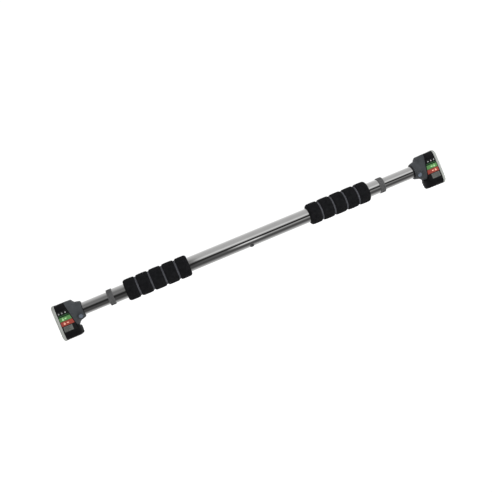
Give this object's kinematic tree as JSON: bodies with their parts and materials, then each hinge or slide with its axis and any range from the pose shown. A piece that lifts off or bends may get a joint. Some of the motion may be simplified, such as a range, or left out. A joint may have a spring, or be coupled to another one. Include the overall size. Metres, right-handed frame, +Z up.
{
  "type": "pull up bar",
  "caption": "Telescopic doorway pull-up bar: chrome main tube with segmented foam grips and screw-out inner tubes that carry swivelling, lockable wall caps.",
  "frame": {"origin": "middle of the whole bar in X and Y, on the ground line that the two end caps stand on", "axes": "+X along the bar towards its right end, +Z up, the labelled front faces -Y"},
  "size_m": [0.9, 0.053, 0.078],
  "materials": {
    "main_chrome": "polished chrome plating on steel tube",
    "inner_chrome": "polished chrome plating on steel tube",
    "zinc_steel": "zinc-plated machined steel",
    "screw_steel": "zinc-plated",
    "black_screw": "black oxide",
    "bush_plastic": "turned nylon",
    "collar_plastic": "fine moulded grain",
    "core_foam": "closed-cell foam",
    "grip_foam": "closed-cell foam, skinned",
    "pad_rubber": "soft moulded rubber",
    "housing_plastic": "satin-gloss moulding",
    "cover_plastic": "fine spark-eroded texture",
    "label_film": "printed film",
    "button_plastic": "moulded"
  },
  "bodies": {
    "main": {"main_tube": "main_chrome", "centre_block": "zinc_steel", "centre_screw": "black_screw", "left_spindle": "zinc_steel", "left_spindle_stop": "zinc_steel", "left_guide_bush": "bush_plastic", "left_collar": "collar_plastic", "left_grip_core": "core_foam", "left_grip_segments": "grip_foam", "right_spindle": "zinc_steel", "right_spindle_stop": "zinc_steel", "right_guide_bush": "bush_plastic", "right_collar": "collar_plastic", "right_grip_core": "core_foam", "right_grip_segments": "grip_foam"},
    "left_ring": {"left_slide_ring": "bush_plastic"},
    "left_end": {"left_inner_tube": "inner_chrome", "left_spindle_nut": "zinc_steel", "left_thrust_plug": "zinc_steel", "left_lock_ring": "zinc_steel"},
    "left_cap": {"left_wall_pad": "pad_rubber", "left_base_plate": "zinc_steel", "left_housing": "housing_plastic", "left_neck_cover": "cover_plastic", "left_neck_bush": "bush_plastic", "left_label": "label_film", "left_cap_screws": "screw_steel"},
    "left_button": {"left_lock_button": "button_plastic"},
    "right_ring": {"right_slide_ring": "bush_plastic"},
    "right_end": {"right_inner_tube": "inner_chrome", "right_spindle_nut": "zinc_steel", "right_thrust_plug": "zinc_steel", "right_lock_ring": "zinc_steel"},
    "right_cap": {"right_wall_pad": "pad_rubber", "right_base_plate": "zinc_steel", "right_housing": "housing_plastic", "right_neck_cover": "cover_plastic", "right_neck_bush": "bush_plastic", "right_label": "label_film", "right_cap_screws": "screw_steel"},
    "right_button": {"right_lock_button": "button_plastic"}
  },
  "joints": [
    {"name": "left_feed", "type": "slide", "parent": "main", "child": "left_ring", "axis": [-1, 0, 0], "range_m": [-0.0501, 0.0801]},
    {"name": "left_turn", "type": "hinge", "parent": "left_ring", "child": "left_end", "pos_m": [0, 0, 0.049], "axis": [-1, 0, 0], "range_deg": [-3600, 5760]},
    {"name": "left_swivel", "type": "hinge", "parent": "left_end", "child": "left_cap", "pos_m": [0, 0, 0.049], "axis": [1, 0, 0], "continuous": true},
    {"name": "left_lock", "type": "slide", "parent": "left_cap", "child": "left_button", "axis": [0, 0.829, 0.5592], "range_m": [0, 0.002]},
    {"name": "right_feed", "type": "slide", "parent": "main", "child": "right_ring", "axis": [1, 0, 0], "range_m": [-0.0651, 0.0601]},
    {"name": "right_turn", "type": "hinge", "parent": "right_ring", "child": "right_end", "pos_m": [0, 0, 0.049], "axis": [-1, 0, 0], "range_deg": [-4680, 4320]},
    {"name": "right_swivel", "type": "hinge", "parent": "right_end", "child": "right_cap", "pos_m": [0, 0, 0.049], "axis": [1, 0, 0], "continuous": true},
    {"name": "right_lock", "type": "slide", "parent": "right_cap", "child": "right_button", "axis": [0, 0.829, 0.5592], "range_m": [0, 0.002]}
  ],
  "couplings": [
    {"joint": "left_feed", "follows": "left_turn", "m_per_rad": 0.00079577},
    {"joint": "right_feed", "follows": "right_turn", "m_per_rad": 0.00079577}
  ]
}
